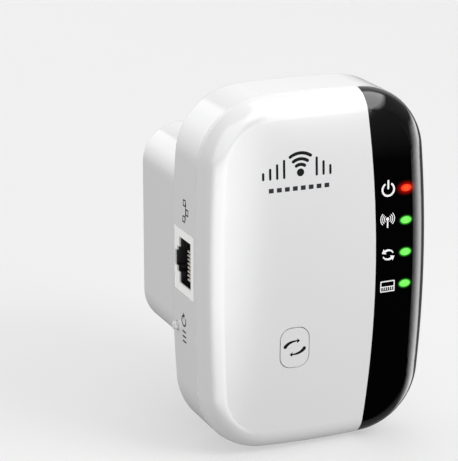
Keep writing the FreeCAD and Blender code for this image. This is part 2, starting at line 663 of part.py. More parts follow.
def antenna_trace(name):
    """The raised copper meander on the room side of the antenna board."""
    z, y0, y1 = ANTENNA_Z[name], ANTENNA_Y - ANTENNA_T, ANTENNA_Y - ANTENNA_T - 0.07
    pitch, width, half, count = 2.0, 0.8, 2.4, 9
    lefts = [pitch * (k - (count - 1) / 2) - width / 2 for k in range(count)]
    teeth = [box(x, x + width, y0, y1, z - half, z + half) for x in lefts]
    links = []
    for k, x in enumerate(lefts[:-1]):
        edge = z + (half - width / 2 if k % 2 else -half)
        links.append(box(x, x + pitch + width, y0, y1, edge, edge + width / 2))
    return join(teeth + links)


def antenna_connector(name):
    """Small round snap connector on the main board."""
    x, z = COAX_X[name], COAX_SIDE[name] * 19.6
    base = box(x - 1.3, x + 1.3, MAIN_TOP, MAIN_TOP - 0.4, z - 1.3, z + 1.3)
    return join([base, rod(x, z, 1.0, MAIN_TOP, MAIN_TOP - 1.4)])


def antenna_cable(name):
    """Thin coaxial lead from its connector, over the back wall, to the back of the antenna board."""
    x, s = COAX_X[name], COAX_SIDE[name]
    y = MAIN_TOP - 0.95
    end_z = ANTENNA_Z[name] - s * 2.2
    return tube(
        [
            (x, y, s * 20.8),
            (x, y - 0.1, s * 24.6),
            (x - 2.0, y - 1.0, s * 28.2),
            (x - 2.5, y - 1.8, end_z),
            (x - 2.5, ANTENNA_Y, end_z),
        ],
        COAX_R,
    )


def network_transformer():
    return slab(-8.0, 0, 8.6, 12.7, 0.4, MAIN_TOP, MAIN_TOP - 5.4)


def shield_can():
    """Folded tin lid over the radio."""
    sheet = 0.3
    outer = slab(CAN_X, CAN_Z, CAN_W, CAN_H, 0.8, MAIN_TOP, MAIN_TOP - CAN_T)
    inner_w, inner_h = CAN_W - 2 * sheet, CAN_H - 2 * sheet
    return outer.cut(slab(CAN_X, CAN_Z, inner_w, inner_h, 0.5, MAIN_TOP + 1, MAIN_TOP - CAN_T + sheet))


def radio_chip():
    return slab(CAN_X - 1, CAN_Z + 1, 9.0, 9.0, 0.3, MAIN_TOP, MAIN_TOP - 0.9)


def memory_chips():
    """Flash memory outside the can and working memory inside it."""
    return Part.makeCompound(
        [
            slab(9.0, -9.6, 5.2, 5.2, 0.2, MAIN_TOP, MAIN_TOP - 1.75),
            slab(CAN_X - 1, CAN_Z - 6.6, 8.0, 3.6, 0.2, MAIN_TOP, MAIN_TOP - 1.0),
        ]
    )


def crystal():
    return slab(0.0, -12.8, 3.2, 2.5, 0.3, MAIN_TOP, MAIN_TOP - 0.8)


def board_passives():
    """Small chip resistors and capacitors in rows on the main board."""
    rows = [(-3.0 + 2.2 * k, 12.6) for k in range(2)]
    rows += [(-17.0 + 2.0 * k, -12.6) for k in range(6)]
    rows += [(-1.6, -9.0 + 1.9 * k) for k in range(9)]
    rows += [(15.6, -8.4 - 1.9 * k) for k in range(3)]
    rows += [(20.2, led_z(r) + 2.4) for _, r in LED_ROWS]
    return Part.makeCompound(
        [box(x - 0.6, x + 0.6, MAIN_TOP, MAIN_TOP - 0.5, z - 0.35, z + 0.35) for x, z in rows]
    )


def regulator_coil():
    """Power inductor beside the socket."""
    return slab(-9.0, 14.5, 5.0, 5.0, 1.2, MAIN_TOP, MAIN_TOP - 3.0)


def transformer_core():
    """Ferrite core: an outer frame round the winding, open at its two ends, with a centre leg."""
    x, z, low, high = CORE_X, CORE_Z, POWER_TOP - CORE_LOW, POWER_TOP - CORE_HIGH
    frame = box(x - 8, x + 8, low, high, z - 2.6, z + 2.6)
    openings = [box(x + s * 5.6, x + s * 2.4, low - 2.4, high + 2.4, z - 4, z + 4) for s in (-1, 1)]
    return cut(frame, openings)


def transformer_winding():
    """Bobbin with its wrapped winding round the core's centre leg."""
    x, z, low, high = CORE_X, CORE_Z, POWER_TOP - CORE_LOW, POWER_TOP - CORE_HIGH
    wound = slab(x, z, 11.0, 13.0, 1.6, low - 2.5, high + 2.5)
    leg = box(x - 2.5, x + 2.5, low + 1, high - 1, z - 2.7, z + 2.7)
    feet = box(x - 7.6, x + 7.6, POWER_TOP, low, z - 6.4, z + 6.4)
    return Part.makeCompound([wound.cut(leg), feet.cut(box(x - 6, x + 6, -FAR, 0, z - 5, z + 5))])


def can_capacitor(x, z, r, length):
    """An aluminium can on end with its crimp groove near the board."""
    body = rod(x, z, r, POWER_TOP, POWER_TOP - length)
    rim = [e for e in body.Edges if e.BoundBox.YMax < POWER_TOP - length + 0.01]
    groove = rod(x, z, r + 1, POWER_TOP - 1.8, POWER_TOP - 2.4)
    groove = groove.cut(rod(x, z, r - 0.3, POWER_TOP, POWER_TOP - 4))
    return body.makeFillet(0.5, rim).cut(groove)


def mains_capacitors():
    return Part.makeCompound([can_capacitor(-12.6, 9.8, 4.0, 14.0), can_capacitor(-12.6, 0.6, 4.0, 14.0)])


def output_capacitor():
    return can_capacitor(16.8, -2.2, 4.0, 12.0)


def input_choke():
    """Drum choke: a waisted ferrite bobbin."""
    x, z = -6.0, -12.4
    drum = rod(x, z, 3.6, POWER_TOP, POWER_TOP - 9.0)
    waist = rod(x, z, 5.0, POWER_TOP - 1.6, POWER_TOP - 7.4).cut(rod(x, z, 2.7, POWER_TOP, POWER_TOP - 9))
    return drum.cut(waist)


def fuse():
    return slab(-16.5, -13.6, 8.2, 4.0, 0.8, POWER_TOP, POWER_TOP - 7.6)


def suppression_capacitor():
    """Disc capacitor standing on edge."""
    disc = Part.makeCylinder(3.8, 2.6, V(2.0, POWER_TOP - 4.6, -14.6), V(0, 0, 1))
    legs = [box(x - 0.3, x + 0.3, POWER_TOP, POWER_TOP - 3.0, -13.6, -13.0) for x in (0.0, 4.0)]
    return join([disc] + legs)


def power_chips():
    """Bridge rectifier, controller and output diode."""
    return Part.makeCompound(
        [
            slab(-4.6, 17.6, 4.8, 4.0, 0.2, POWER_TOP, POWER_TOP - 2.4),
            slab(4.6, 17.0, 5.0, 4.0, 0.2, POWER_TOP, POWER_TOP - 1.6),
            slab(18.0, -13.0, 4.4, 2.6, 0.2, POWER_TOP, POWER_TOP - 2.2),
        ]
    )


def dc_wire(k):
    """Low-voltage lead from the power board up to the back of the main board."""
    x = DC_X[k]
    return tube(
        [
            (x, POWER_TOP, DC_Z),
            (x, -9.8, DC_Z),
            (x + 0.5, -14.4, DC_Z - 0.5),
            (x + 0.2, -18.4, DC_Z + 1.0),
            (x, -21.8, DC_Z + 2.0),
            (x, MAIN_Y, DC_Z + 2.0),
        ],
        0.7,
    )


def mains_wire(side):
    """Mains lead from a pin's solder tail to the wall side of the power board."""
    x, out = side * PIN_X, side * 1.5
    return tube([(x, PIN_TAIL_Y, 0), (x, 3.6, 0), (x + out, -0.2, -5.0), (x + out, POWER_Y, -5.0)], 0.8)


# ---- assembly -----------------------------------------------------------------------------------
def all_nodes():
    """Every node's name with the call that makes it."""
    yield "front_cover", front_cover()
    yield "led_panel", led_panel()
    yield "rear_shell", rear_shell()
    yield "plug_housing", plug_housing()
    yield "plug_insert", plug_insert()
    yield "plug_pin_left", plug_pin(-1)
    yield "plug_pin_right", plug_pin(1)
    yield "rating_label", label_form(0, BACK_Y - 0.05)
    yield "setup_button", setup_button()
    yield "setup_switch", setup_switch()
    yield "setup_switch_plunger", setup_plunger()
    yield "reset_button", reset_button()
    yield "reset_switch", reset_switch()
    yield "reset_switch_plunger", reset_plunger()
    for name, row in LED_ROWS:
        yield "light_pipe_" + name, light_pipe(row)
    yield "light_pipe_bracket", pipe_bracket()
    yield "indicator_leds", indicator_leds()
    yield "main_board", main_board()
    yield "power_board", power_board()
    yield "insulating_sheet", insulating_sheet()
    yield "lan_jack_frame", jack_frame()
    yield "lan_jack_body", jack_body()
    yield "lan_jack_contacts", jack_contacts()
    yield "network_transformer", network_transformer()
    yield "shield_can", shield_can()
    yield "radio_chip", radio_chip()
    yield "memory_chips", memory_chips()
    yield "crystal", crystal()
    yield "board_passives", board_passives()
    yield "regulator_coil", regulator_coil()
    for name in ANTENNA_Z:
        yield "antenna_" + name, antenna(name)
        yield "antenna_trace_" + name, antenna_trace(name)
        yield "antenna_connector_" + name, antenna_connector(name)
        yield "antenna_cable_" + name, antenna_cable(name)
    yield "transformer_core", transformer_core()
    yield "transformer_winding", transformer_winding()
    yield "mains_capacitors", mains_capacitors()
    yield "output_capacitor", output_capacitor()
    yield "input_choke", input_choke()
    yield "fuse", fuse()
    yield "suppression_capacitor", suppression_capacitor()
    yield "power_chips", power_chips()
    yield "dc_wire_positive", dc_wire(0)
    yield "dc_wire_negative", dc_wire(1)
    yield "mains_wire_left", mains_wire(-1)
    yield "mains_wire_right", mains_wire(1)
    yield "case_screws", Part.makeCompound(
        [screw(x, z, CASE_HEAD_Y, CASE_JOIN_Y - 6, CASE_HEAD_R, 1.6) for x, z in CASE_SCREWS]
    )
    yield "plug_housing_screws", Part.makeCompound(
        [screw(x, z, BACK_Y - WALL, BACK_Y + 8, 2.1, 1.3) for x, z in EARS]
    )
    yield "main_board_screws", Part.makeCompound(
        [screw(x, z, MAIN_TOP, MAIN_Y + 6, 1.9, 1.2) for x, z in MAIN_POSTS]
    )
    yield "power_board_screws", Part.makeCompound(
        [screw(x, z, POWER_TOP, POWER_Y + 3, 1.9, 1.2) for x, z in POWER_PEGS[:2]]
    )


if __name__ == "__main__":
    os.makedirs(OUT, exist_ok=True)
    for node, shape in all_nodes():
        save(node, shape)
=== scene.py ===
"""Looks of the plug-in wireless range extender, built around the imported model.

Millimetres are used for the sizes below and turned into metres with MM. The frame is the model's own:
+Y into the wall, -Y towards the room, +Z up.
"""

import math

import bmesh
import bpy
from mathutils import Matrix, Vector
from mathutils.bvhtree import BVHTree
from mathutils.geometry import delaunay_2d_cdt


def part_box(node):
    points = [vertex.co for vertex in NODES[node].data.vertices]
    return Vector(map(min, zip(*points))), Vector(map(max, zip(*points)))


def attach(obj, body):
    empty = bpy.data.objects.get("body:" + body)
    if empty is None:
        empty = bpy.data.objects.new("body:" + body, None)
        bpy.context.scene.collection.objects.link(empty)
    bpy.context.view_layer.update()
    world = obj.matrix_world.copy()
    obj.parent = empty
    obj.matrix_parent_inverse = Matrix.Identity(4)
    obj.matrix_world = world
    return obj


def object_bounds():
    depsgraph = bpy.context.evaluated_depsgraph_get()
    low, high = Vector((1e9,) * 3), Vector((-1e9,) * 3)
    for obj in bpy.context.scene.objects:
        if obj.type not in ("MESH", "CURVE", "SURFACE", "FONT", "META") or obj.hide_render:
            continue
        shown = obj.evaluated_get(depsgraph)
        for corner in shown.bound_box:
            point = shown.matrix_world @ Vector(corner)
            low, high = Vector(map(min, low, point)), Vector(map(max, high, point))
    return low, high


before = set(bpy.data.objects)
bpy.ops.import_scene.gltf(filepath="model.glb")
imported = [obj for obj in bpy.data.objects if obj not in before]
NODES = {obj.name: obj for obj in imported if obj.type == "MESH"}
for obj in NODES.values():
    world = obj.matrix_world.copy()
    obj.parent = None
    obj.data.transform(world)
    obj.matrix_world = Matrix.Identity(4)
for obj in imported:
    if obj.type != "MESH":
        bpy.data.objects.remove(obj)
CAD_LOW, CAD_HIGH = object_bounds()
MM = 0.001

# ---- values -------------------------------------------------------------------------------------
CAMERA_AZIMUTH = -22.49
CAMERA_ELEVATION = 16.94
CAMERA_AT = (-0.21463, -0.50706, 0.16298)
CAMERA_LENS = 171.3
SENSOR = 36.0

NOISE_SPAN = (0.3, 0.7)  # where most of a noise texture's values lie
DRIFT_SCALE = 55.0  # size of the faint colour drift in moulded plastic
PLASTIC_IOR = 1.5
COAT_ROUGHNESS = 0.03
SCRATCH_SHADE = 0.86  # how dark a metal's scratches are, as a share of its colour
METAL_GLOSS = (0.75, 1.3)  # least and most roughness of a metal, as shares of its own
UNLIT_SHARE = 0.3  # a light pipe's plastic, as a share of its light
TRACK_SCALE = 260.0  # how closely the tracks of a circuit board lie
TRACK_WIDTH = 0.012
WIND_WAVER = 0.6  # unevenness of wound wire
WIND_SHADE = 0.7

INK_LIFT = 0.02  # printed ink stands this far above the plastic
INK_SINK = 0.03  # and its closed underside this far inside it
INK_GRAIN = 1800.0
INK_WELD = 0.0001  # outline points closer than this are one
KEEP_INSIDE = 1  # the triangulation that keeps only what lies inside an outline

LED_NAMES = ("power", "wireless", "sync", "computer")
GREEN_LIGHT = (0.19, 0.88, 0.12)
GREEN_RIM = (0.07, 0.55, 0.05)
# GREEN_GLOW and RED_GLOW are the colours of the painted glow that the black panel emits round each light.
GREEN_GLOW = (0.03, 0.30, 0.02)
RED_LIGHT = (1.0, 0.08, 0.018)
RED_RIM = (0.55, 0.008, 0.003)
RED_GLOW = (0.34, 0.004, 0.002)
# Reach and fall of the painted glow: emission on the panel, which is no lamp, standing in for the lights'
# spill.
HALO_REACH = 3.2  # radius of the red glow on the panel
GLOW_REACH = 2.1  # and of the thin green one
GLOW_FALL = 2.0  # how fast a glow fades

FAN_AT = (-5.45, 23.53)  # the dot that the wireless arcs stand over
FAN_DOT = 0.95
FAN_RADII = (1.95, 3.3, 4.75)
FAN_HALF_ANGLE = 34.0
FAN_LINE = 0.8
BARS = ((-9.7, 4.1), (-11.5, 3.2), (-13.3, 2.3), (-15.1, 1.4), (-1.2, 4.1), (0.6, 3.0), (2.4, 1.9))
BAR_FOOT = 22.6
BAR_LINE = 0.6
BLOCK_RUN = (-14.1, 2.5)  # the row of blocks under the mark, from end to end
BLOCK_Z = 19.7
BLOCKS = 8
BLOCK_SIZE = (1.25, 1.1)
ICON_X = 18.1  # the white signs beside the lights
SETUP_TILT = 8.0
NETWORK_SIGN_AT = (0.9, 5.0)  # across from the socket's middle and up from its top
RESTART_SIGN_AT = (4.3, 2.6)  # across and up from the reset button
READ_DOWN = -90.0  # turn of a sign that is read downwards
LABEL_MARGIN = 1.4
LABEL_BARS = (0.9, 0.62, 0.8, 0.5)  # lengths of the label's plain bars, as shares of LABEL_BAR
LABEL_BAR = 14.0
LABEL_PITCH = 1.7
LABEL_FIRST = 1.9  # from the border down to the first bar

# Which way a printed face looks: its right hand, its up and its outward direction.
FRONT = (Vector((1, 0, 0)), Vector((0, 0, 1)), Vector((0, -1, 0)))
LEFT = (Vector((0, -1, 0)), Vector((0, 0, 1)), Vector((-1, 0, 0)))
BACK = (Vector((-1, 0, 0)), Vector((0, 0, 1)), Vector((0, 1, 0)))

# What gloss mirrors: boxes of light, each with its brightness and the four edges between which it fades
# in and out, in measures of the direction. turn is degrees right of -Y, rise is degrees above the
# horizon, pitch is degrees up from -Y as seen from the side, lean is the share along +X less LEAN
# times the share along +Z, and swing is turn less SWING times the rise outside SWING_RISES.
LEAN = 0.45
SWING = 1.5
SWING_RISES = (-20, -12)
BACKDROP = 0.78  # what the camera sees behind the object
SKY_BELOW, SKY_ABOVE = 0.58, 0.78  # the light from all round, and the shares along +Z where it levels off
SKY_SPAN = (-0.25, 0.25)
ROOM_BELOW, ROOM_ABOVE = 0.3, 0.9  # the dim room that gloss mirrors between the boxes
ROOM_SPAN = (-0.1, 0.3)
SOFT_BOXES = [
    # the bright band down the left, and the corner above it
    (6.0, {"turn": (-62, -32, 17.2, 20.6), "rise": (-46, -20, -9, 6)}),
    (3.0, {"turn": (-72, -52, 0, 12), "rise": (-9, 6, 42, 60)}),
    # along the top of the front, and above it
    (5.4, {"turn": (14, 22, 27.0, 28.5), "rise": (-7.95, -7.55, 0, 8)}),
    (5.4, {"turn": (14, 22, 60, 75), "rise": (-6, 6, 40, 60), "lean": (-3, -2, 0.4, 0.505)}),
    # overhead
    (5.6, {"lean": (-0.5, -0.25, 0.4, 0.505), "rise": (12, 36, 91, 92),
           "pitch": (-181, -180, 100, 118)}),
    # down the panel's right edge
    (6.5, {"swing": (33, 70, 84, 99), "rise": (-45, -30, 2, 11)}),
    # on the upper left corner
    (2.1, {"turn": (-180, -172, -150, -130), "rise": (-14, 14, 30, 60)}),
]
# Cards that keep the room out of the panel, each with the share of the room that it hides.
DARK_CARDS = [
    (1.0, {"turn": (15, 21, 40, 60), "rise": (-50, -45, -10.5, -6.9)}),
    (0.65, {"turn": (26, 34, 112, 128), "rise": (-10, 0, 45, 60)}),
]
# Each square light's place, width and power. They all face LIT_POINT.
LIT_POINT = (0, -0.03, 0)
LIGHTS = {
    "front_light": ((0.23, -0.33, 0.27), 0.25, 1.33),
    "side_light": ((-0.9, 0.2, 0.4), 0.6, 1.6),
    "top_light": ((0.1, 0.7, 1.0), 1.0, 4.9),
}
FLOOR_REACH = 6.0
FLOOR_GAP = 0.0005  # how far under the object the floor lies
FLOOR_GREYS = ((0.33, 0.33, 0.33), (0.35, 0.35, 0.35))
FLOOR_GLOW = 0.4


# ---- node helpers -------------------------------------------------------------------------------
class Nodes:
    """The node tree of a material or world, with short calls for the nodes used here."""

    def __init__(self, owner, shader="Principled BSDF", place="Object"):
        owner.use_nodes = True
        self.owner = owner
        self.tree = owner.node_tree
        self.shader = self.tree.nodes[shader]
        self.place = self.add("ShaderNodeTexCoord").outputs[place]

    def add(self, kind, **values):
        node = self.tree.nodes.new(kind)
        for name, value in values.items():
            if hasattr(node, name):
                setattr(node, name, value)
            else:
                node.inputs[name.replace("_", " ")].default_value = value
        return node

    def feed(self, target, value):
        """Links a socket, or sets a number, a vector or a colour."""
        if isinstance(value, bpy.types.NodeSocket):
            self.tree.links.new(value, target)
        elif isinstance(value, tuple) and target.type == "RGBA":
            target.default_value = (*value, 1.0)
        else:
            target.default_value = value

    def set(self, **values):
        """Sets or links the shader's own sockets."""
        for name, value in values.items():
            self.feed(self.shader.inputs[name.replace("_", " ")], value)

    def scaled(self, stretch):
        node = self.add("ShaderNodeMapping")
        node.inputs["Scale"].default_value = stretch
        self.feed(node.inputs["Vector"], self.place)
        return node.outputs["Vector"]

    def noise(self, scale, detail=3.0, rough=0.5, stretch=(1.0, 1.0, 1.0)):
        node = self.add("ShaderNodeTexNoise", Scale=scale, Detail=detail, Roughness=rough)
        self.feed(node.inputs["Vector"], self.scaled(stretch))
        return node.outputs["Fac"]

    def ramp(self, fac, low, high, a=0.0, b=1.0):
        """fac between low and high becomes a value between a and b, and is held at a and b outside."""
        node = self.add("ShaderNodeMapRange")
        for key, value in zip(("Value", "From Min", "From Max", "To Min", "To Max"), (fac, low, high, a, b)):
            self.feed(node.inputs[key], value)
        return node.outputs["Result"]

    def mix(self, fac, a, b):
        """Colour a where fac is 0 and colour b where it is 1."""
        node = self.add("ShaderNodeMix", data_type="RGBA")
        for index, value in ((0, fac), (6, a), (7, b)):
            self.feed(node.inputs[index], value)
        return node.outputs[2]

    def math(self, operation, a, b=0.0):
        node = self.add("ShaderNodeMath", operation=operation)
        self.feed(node.inputs[0], a)
        self.feed(node.inputs[1], b)
        return node.outputs[0]

    def axes(self):
        node = self.add("ShaderNodeSeparateXYZ")
        self.feed(node.inputs[0], self.place)
        return node.outputs

    def bump(self, height, distance):
        node = self.add("ShaderNodeBump", Distance=distance)
        self.feed(node.inputs["Height"], height)
        self.set(Normal=node.outputs["Normal"])


def material(name):
    return Nodes(bpy.data.materials.new(name))


def shade(colour, factor):
    return tuple(c * factor for c in colour)


# ---- materials ----------------------------------------------------------------------------------
def moulded(name, colour, rough=0.2, spread=0.05, tint=0.03, grain=900.0, depth=0.000004, coat=0.0):
    """Injection-moulded plastic: faint colour drift, uneven gloss and a very fine surface ripple."""
    m = material(name)
    m.set(Base_Color=m.mix(m.noise(DRIFT_SCALE, 2.0), shade(colour, 1.0 - tint), colour), IOR=PLASTIC_IOR)
    fine = m.noise(grain, 4.0, 0.6)
    m.set(Roughness=m.ramp(fine, *NOISE_SPAN, rough - spread / 2, rough + spread / 2))
    if coat:
        m.set(Coat_Weight=coat, Coat_Roughness=COAT_ROUGHNESS)
    m.bump(fine, depth)
    return m


def metal(name, colour, rough=0.25, stretch=(1.0, 1.0, 1.0), grain=2500.0, depth=0.000003):
    """Bare or plated metal with fine scratches along the axis that stretch leaves long."""
    m = material(name)
    lines = m.noise(grain, 3.0, 0.6, stretch)
    m.set(Base_Color=m.mix(lines, shade(colour, SCRATCH_SHADE), colour), Metallic=1.0)
    m.set(Roughness=m.ramp(lines, *NOISE_SPAN, rough * METAL_GLOSS[0], rough * METAL_GLOSS[1]))
    m.bump(lines, depth)
    return m


def led_centre(name):
    low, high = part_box("light_pipe_" + name)
    return (low.x + high.x) / 2, (low.z + high.z) / 2


def led_distance(m, name):
    """How far a point lies from one light's centre: 1 all along the rim of its oval window."""
    low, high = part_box("light_pipe_" + name)
    x, z = led_centre(name)
    across = m.math("DIVIDE", m.math("SUBTRACT", m.axes()[0], x), (high.x - low.x) / 2)
    up = m.math("DIVIDE", m.math("SUBTRACT", m.axes()[2], z), (high.z - low.z) / 2)
    squares = m.math("ADD", m.math("MULTIPLY", across, across), m.math("MULTIPLY", up, up))
    return m.math("SQRT", squares)


def panel_black():
    """Piano-black gloss with a painted glow round each light's window: the panel, which is no lamp, emits
    the light's colour, fading out from the window's rim.
    """
    m = moulded("panel_black", (0.0014, 0.0014, 0.0016), rough=0.03, spread=0.01, tint=0.2, grain=350.0,
                depth=0.0000005)
    glow = (0.0, 0.0, 0.0)
    for name in LED_NAMES:
        low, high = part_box("light_pipe_" + name)
        reach, colour = (HALO_REACH, RED_GLOW) if name == "power" else (GLOW_REACH, GREEN_GLOW)
        near = m.ramp(led_distance(m, name), 2 * reach * MM / (high.x - low.x), 1.0)
        # Painted glow: the panel itself emits each light's colour near its window.
        glow = m.mix(m.math("POWER", near, GLOW_FALL), glow, colour)
    m.set(Emission_Color=glow, Emission_Strength=1.0)
    return m


def light(name, colour, rim, core_share, leds):
    """A lit light pipe: full colour out to core_share of its half width, and deeper at its rim."""
    m = moulded(name, shade(colour, UNLIT_SHARE), rough=0.12, spread=0.02, tint=0.05)
    core = None
    for led in leds:
        near = m.ramp(led_distance(m, led), 1.0, core_share)
        core = near if core is None else m.math("MAXIMUM", core, near)
    m.set(Emission_Color=m.mix(core, rim, colour), Emission_Strength=1.0)
    return m


def circuit_board(name, mask, track):
    """Solder mask over copper: blocks of parallel tracks show through as a lighter pattern."""
    m = material(name)
    bricks = m.add("ShaderNodeTexBrick", Scale=TRACK_SCALE)
    bricks.inputs["Mortar Size"].default_value = TRACK_WIDTH
    m.feed(bricks.inputs["Vector"], m.scaled((1.0, 1.0, 0.6)))
    patch = m.ramp(m.noise(120.0, 2.0), 0.44, 0.5)
    tracks = m.math("MULTIPLY", bricks.outputs["Fac"], patch)
    m.set(Base_Color=m.mix(tracks, mask, track), Roughness=m.ramp(m.noise(700.0), *NOISE_SPAN, 0.22, 0.34))
    m.bump(tracks, 0.00002)
    return m


def banded(name, colour, rough, axis_scale, depth):
    """Wound wire or tape: fine bands around the axis that axis_scale leaves long."""
    m = material(name)
    waves = m.add("ShaderNodeTexWave", Scale=1.0)
    waves.inputs["Distortion"].default_value = WIND_WAVER
    m.feed(waves.inputs["Vector"], m.scaled(axis_scale))
    m.set(Base_Color=m.mix(waves.outputs["Fac"], shade(colour, WIND_SHADE), colour))
    m.set(Roughness=m.ramp(m.noise(600.0), *NOISE_SPAN, rough, rough + 0.12))
    m.bump(waves.outputs["Fac"], depth)
    return m


def see_through(name, colour, rough, share):
    """Clear plastic that lets this share of the light through."""
    m = moulded(name, colour, rough, 0.04)
    m.set(Transmission_Weight=share)
    return m


# The numbers follow the order in each function's own line: moulded has roughness, its spread, tint,
# grain and depth; metal has roughness and stretch.
SLOTS = {
    "shell_white": moulded("shell_white", (0.72, 0.72, 0.728), 0.1, 0.02, 0.01, coat=0.25),
    "insert_white": moulded("insert_white", (0.76, 0.76, 0.75), 0.38, 0.08),
    "key_white": moulded("key_white", (0.72, 0.72, 0.728), 0.12, 0.02, 0.01, coat=0.25),
    "panel_black": panel_black(),
    "pin_metal": metal("pin_metal", (0.80, 0.78, 0.73), 0.2, (1.0, 0.04, 1.0)),
    "label_silver": metal("label_silver", (0.66, 0.67, 0.68), 0.42, (0.05, 1.0, 1.0)),
    "switch_black": moulded("switch_black", (0.02, 0.02, 0.021), 0.45, 0.1, 0.2),
    "plunger_white": moulded("plunger_white", (0.7, 0.7, 0.67), 0.4, 0.08),
    "light_red": light("light_red", RED_LIGHT, RED_RIM, 0.3, ("power",)),
    "light_green": light("light_green", GREEN_LIGHT, GREEN_RIM, 0.6, LED_NAMES[1:]),
    "bracket_black": moulded("bracket_black", (0.025, 0.025, 0.025), 0.5, 0.1, 0.2),
    "led_resin": see_through("led_resin", (0.85, 0.9, 0.86), 0.12, 0.4),
    "board_green": circuit_board("board_green", (0.006, 0.075, 0.022), (0.02, 0.16, 0.05)),
    "board_tan": circuit_board("board_tan", (0.36, 0.22, 0.09), (0.44, 0.29, 0.13)),
    "film_clear": see_through("film_clear", (0.80, 0.74, 0.58), 0.2, 0.7),
    "jack_white": moulded("jack_white", (0.97, 0.97, 0.96), 0.3, 0.06, 0.01),
    "jack_black": moulded("jack_black", (0.006, 0.006, 0.006), 0.4, 0.1, 0.2),
    "contact_gold": metal("contact_gold", (1.0, 0.95, 0.84), 0.5),
    "chip_black": moulded("chip_black", (0.018, 0.018, 0.019), 0.55, 0.12, 0.25, 3000.0, 0.00001),
    "tin_plate": metal("tin_plate", (0.70, 0.70, 0.69), 0.3, (1.0, 1.0, 0.1)),
    "chip_ceramic": moulded("chip_ceramic", (0.42, 0.30, 0.19), 0.4, 0.1, 0.3, 1600.0),
    "ferrite": moulded("ferrite", (0.045, 0.045, 0.048), 0.6, 0.12, 0.3, 2200.0, 0.00001),
    "copper": metal("copper", (0.93, 0.52, 0.34), 0.3),
    "coax_grey": moulded("coax_grey", (0.22, 0.22, 0.23), 0.42, 0.08, 0.08),
    "winding_yellow": banded("winding_yellow", (0.86, 0.62, 0.06), 0.35, (0.0, 900.0, 0.0), 0.00004),
    "capacitor_sleeve": moulded("capacitor_sleeve", (0.03, 0.032, 0.05), 0.28, 0.06, 0.15, 700.0),
    "fuse_brown": moulded("fuse_brown", (0.16, 0.06, 0.03), 0.35, 0.08, 0.15),
    "disc_blue": moulded("disc_blue", (0.02, 0.12, 0.42), 0.32, 0.08, 0.12, 500.0, 0.00002),
    "wire_red": moulded("wire_red", (0.55, 0.02, 0.015), 0.35, 0.08),
    "wire_black": moulded("wire_black", (0.02, 0.02, 0.02), 0.35, 0.08, 0.15),
    "wire_brown": moulded("wire_brown", (0.16, 0.07, 0.03), 0.35, 0.08),
    "wire_blue": moulded("wire_blue", (0.02, 0.10, 0.42), 0.35, 0.08),
    "screw_steel": metal("screw_steel", (0.62, 0.62, 0.63), 0.26),
}

for node in NODES.values():
    for place in node.material_slots:
        place.material = SLOTS[place.material.name.split(".")[0]].owner


# ---- ink ----------------------------------------------------------------------------------------
def ring_point(centre, radius, angle):
    return Vector((centre[0] + radius * math.cos(angle), centre[1] + radius * math.sin(angle)))


def arc(centre, radius, start, end, steps=20, squash=1.0):
    """Points along a circle, or along an ellipse lower than it is wide, between two angles in degrees."""
    x, y = centre
    angles = [math.radians(start + (end - start) * i / steps) for i in range(steps + 1)]
    return [Vector((x + radius * math.cos(a), y + squash * radius * math.sin(a))) for a in angles]


def disc(centre, radius, steps=28):
    return [ring_point(centre, radius, 2 * math.pi * i / steps) for i in range(steps)]


def cap(centre, radius, start, steps=8):
    """A half circle of points, anticlockwise from the angle start, without its two ends."""
    return [ring_point(centre, radius, start + math.pi * i / steps) for i in range(1, steps)]


def stroke(path, width, far_width=None):
    """The outline of a round-ended line of ink, which may narrow evenly towards its far end."""
    far_width = width if far_width is None else far_width
    last = len(path) - 1
    left, right = [], []
    for i, point in enumerate(path):
        along = (path[min(i + 1, last)] - path[max(i - 1, 0)]).normalized()
        half = (width + (far_width - width) * i / last) / 2
        side = Vector((-along.y, along.x)) * half
        left.append(point + side)
        right.append(point - side)
    first, final = path[1] - path[0], path[-1] - path[-2]
    quarter = math.pi / 2
    far_cap = cap(path[-1], far_width / 2, math.atan2(final.y, final.x) - quarter)
    near_cap = cap(path[0], width / 2, math.atan2(first.y, first.x) + quarter)
    return right + far_cap + left[::-1] + near_cap


def line(a, b, width, steps=3):
    a, b = Vector(a), Vector(b)
    return stroke([a.lerp(b, i / steps) for i in range(steps + 1)], width)


def rectangle(left, low, right, high):
    return [Vector(corner) for corner in ((left, low), (right, low), (right, high), (left, high))]


def frame_of(x, y, half_w, half_h, width):
    """The four lines of a rectangle's outline."""
    corners = rectangle(x - half_w, y - half_h, x + half_w, y + half_h)
    return [line(a, b, width) for a, b in zip(corners, corners[1:] + corners[:1])]


def arrowhead(tip, towards, length, half_width):
    """A triangle with its point at tip, looking along the angle towards, in degrees."""
    along = ring_point((0, 0), 1.0, math.radians(towards))
    side = Vector((-along.y, along.x)) * half_width
    back = Vector(tip) - along * length
    return [Vector(tip), back + side, back - side]


def moved(outlines, offset, turn=0.0):
    """The outlines turned about the origin by some degrees, then shifted."""
    spin = Matrix.Rotation(math.radians(turn), 2)
    return [[spin @ p + Vector(offset) for p in outline] for outline in outlines]


def surface_of(node):
    mesh = NODES[node].data
    return BVHTree.FromPolygons([v.co for v in mesh.vertices], [p.vertices for p in mesh.polygons])


